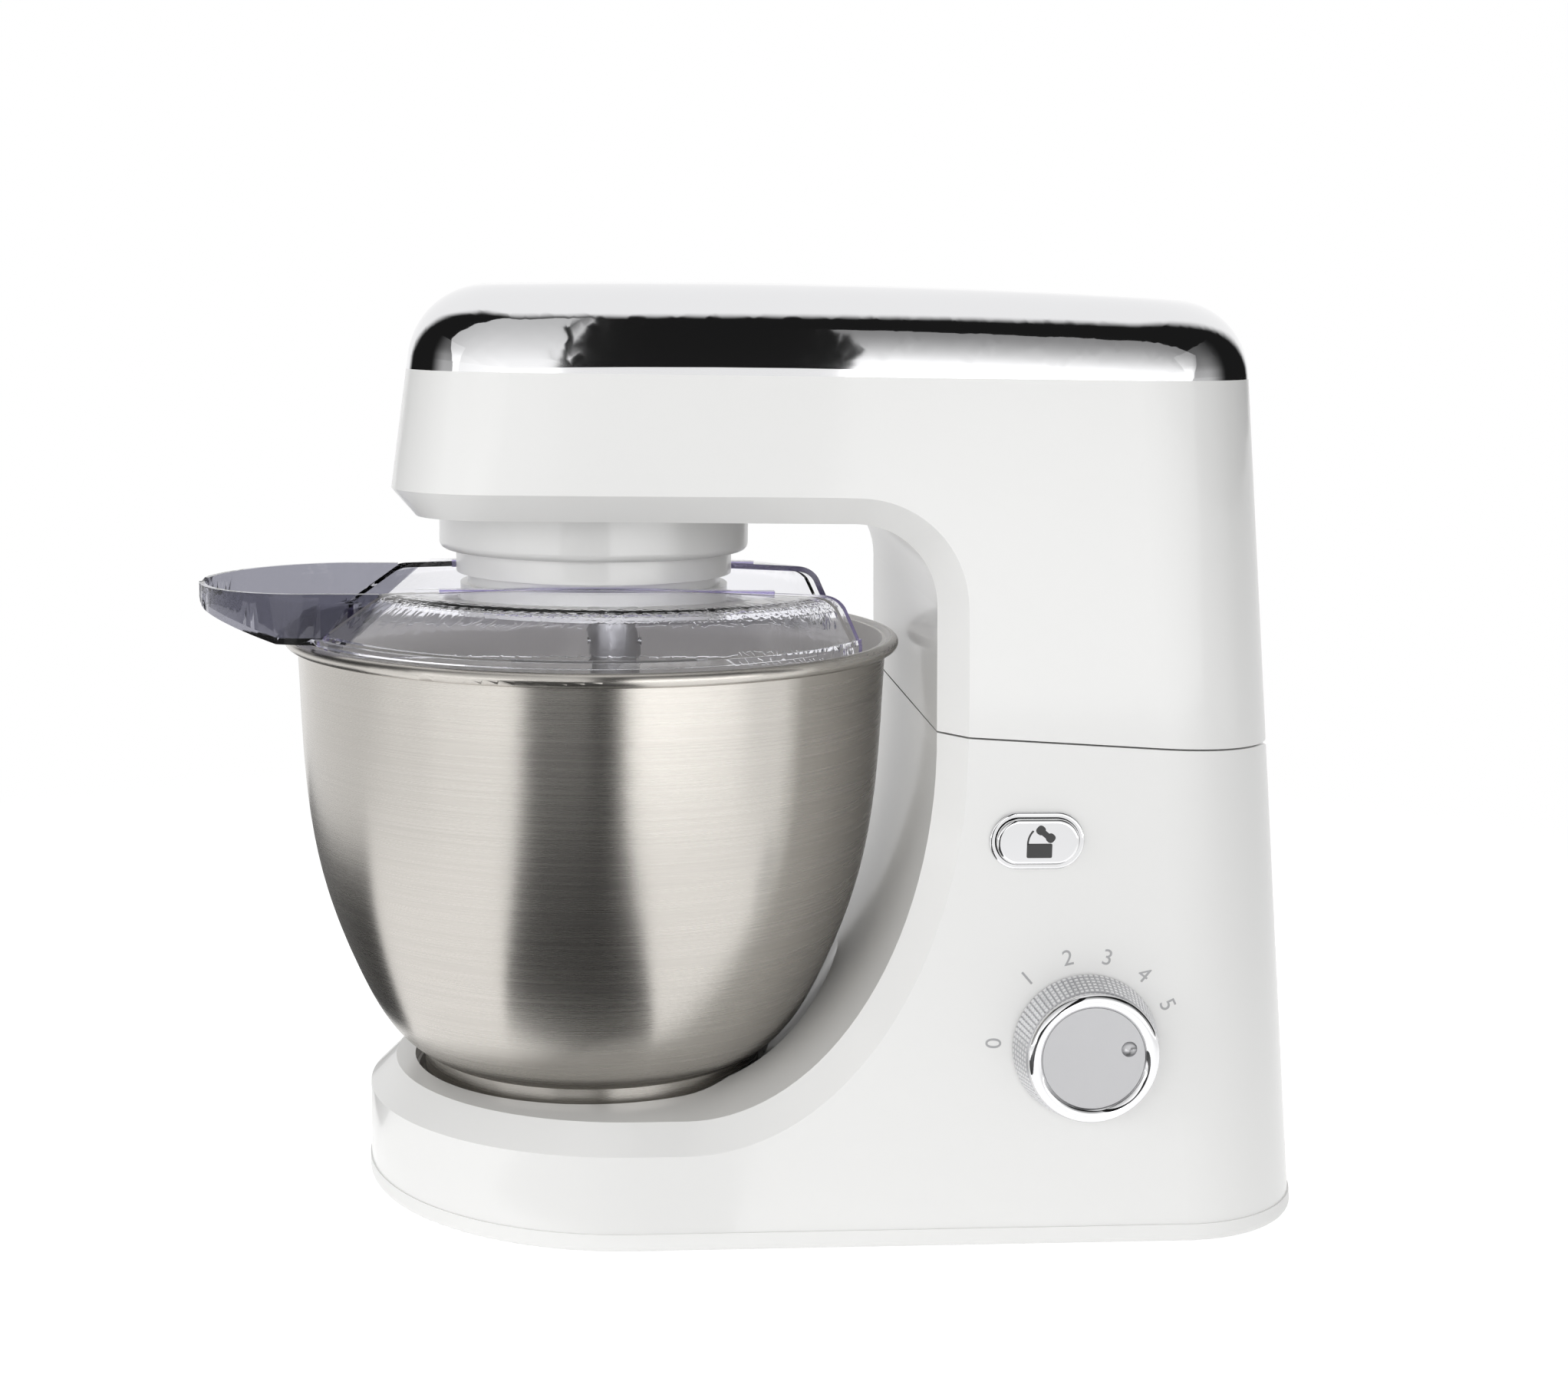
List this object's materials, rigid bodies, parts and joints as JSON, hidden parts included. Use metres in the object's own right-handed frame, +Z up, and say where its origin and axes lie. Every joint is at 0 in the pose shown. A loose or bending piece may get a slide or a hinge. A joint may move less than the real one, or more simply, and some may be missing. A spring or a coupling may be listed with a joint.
{
  "type": "stand mixer",
  "caption": "Tilt-head kitchen stand mixer with a steel bowl, clear splash guard, planetary beater drive, speed knob and head release button.",
  "frame": {"origin": "on the table, under the middle of the whole machine", "axes": "+Z up, the bowl towards -X, the hinge side towards +X, the knob and the button on the -Y side"},
  "size_m": [0.3833, 0.216, 0.32],
  "materials": {
    "white_shell": "glossy moulded white plastic",
    "grey_plastic": "moulded plastic",
    "rubber": "black rubber",
    "chrome": "mirror plated",
    "bowl_steel": "finely brushed stainless steel",
    "clear_guard": "clear moulded plastic",
    "silver": "satin silver",
    "steel": "machined steel",
    "bronze": "sintered bronze and copper",
    "nylon": "natural nylon",
    "beater": "cast and polished",
    "board": "printed board"
  },
  "bodies": {
    "base": {"base_housing": "white_shell", "base_tray": "grey_plastic", "feet": "rubber", "bowl_lock_ring": "grey_plastic", "hinge_pin": "steel", "mains_inlet": "rubber", "speed_switch": "grey_plastic", "control_board": "board", "button_bezel": "chrome", "latch_pin": "steel"},
    "head": {"head_housing": "white_shell", "top_cover": "chrome", "latch_keeper": "steel", "hub_collar": "white_shell", "ring_gear": "steel", "gearbox_plate": "steel", "gearbox_cover": "steel", "main_bush": "bronze", "shaft_bushes": "bronze", "drive_belt": "rubber", "motor_bracket": "steel", "motor_end_bracket": "steel", "motor_bearings": "bronze", "motor_mounts": "rubber", "motor_stator": "steel", "field_coils": "bronze", "brush_holders": "nylon", "splash_guard": "clear_guard"},
    "carrier": {"planet_carrier": "grey_plastic", "planet_bushes": "bronze", "main_shaft": "steel", "main_gear": "nylon"},
    "tool": {"tool_shaft": "steel", "planet_pinion": "steel", "tool_cross_pin": "steel", "flat_beater": "beater"},
    "layshaft": {"lay_shaft": "steel", "lay_pinion": "steel", "lay_pulley": "nylon"},
    "rotor": {"motor_shaft": "steel", "armature": "steel", "commutator": "bronze", "cooling_fan": "grey_plastic", "motor_pulley": "nylon"},
    "bowl": {"bowl": "bowl_steel", "bowl_foot_ring": "bowl_steel"},
    "knob": {"knob_body": "silver", "knob_ring": "chrome", "knob_cap": "silver", "knob_shaft": "steel"},
    "button": {"release_button": "chrome", "button_spring": "steel"},
    "latch": {"latch_lever": "steel"}
  },
  "joints": [
    {"name": "head_tilt", "type": "hinge", "parent": "base", "child": "head", "pos_m": [0.16606, 0, 0.15357], "axis": [0, 1, 0], "range_deg": [0, 40]},
    {"name": "drive_spin", "type": "hinge", "parent": "head", "child": "carrier", "pos_m": [-0.0547, 0, 0.25], "axis": [0, 0, 1], "continuous": true},
    {"name": "beater_spin", "type": "hinge", "parent": "carrier", "child": "tool", "pos_m": [-0.04821, -0.02929, 0.25], "axis": [0, 0, 1], "continuous": true},
    {"name": "layshaft_spin", "type": "hinge", "parent": "head", "child": "layshaft", "pos_m": [-0.00295, 0, 0.25], "axis": [0, 0, 1], "continuous": true},
    {"name": "motor_spin", "type": "hinge", "parent": "head", "child": "rotor", "pos_m": [0.1133, 0, 0.25], "axis": [0, 0, 1], "continuous": true},
    {"name": "bowl_twist", "type": "hinge", "parent": "base", "child": "bowl", "pos_m": [-0.0547, 0, 0.036], "axis": [0, 0, 1], "range_deg": [0, 30]},
    {"name": "knob_turn", "type": "hinge", "parent": "base", "child": "knob", "pos_m": [0.1071, -0.1, 0.0715], "axis": [0, -1, 0], "range_deg": [0, 163.5]},
    {"name": "button_press", "type": "slide", "parent": "base", "child": "button", "axis": [0, 1, 0], "range_m": [0, 0.004], "stiffness_N_per_m": 800, "springref_m": -0.002, "deforming": ["button_spring"]},
    {"name": "latch_swing", "type": "hinge", "parent": "base", "child": "latch", "pos_m": [0.0886, -0.056, 0.159], "axis": [1, 0, 0], "range_deg": [0, 12.8]}
  ],
  "couplings": [
    {"joint": "beater_spin", "follows": "drive_spin", "ratio": -3.5},
    {"joint": "layshaft_spin", "follows": "drive_spin", "ratio": -4.75},
    {"joint": "motor_spin", "follows": "drive_spin", "ratio": -20.357},
    {"joint": "latch_swing", "follows": "button_press", "rad_per_m": 55.564}
  ]
}
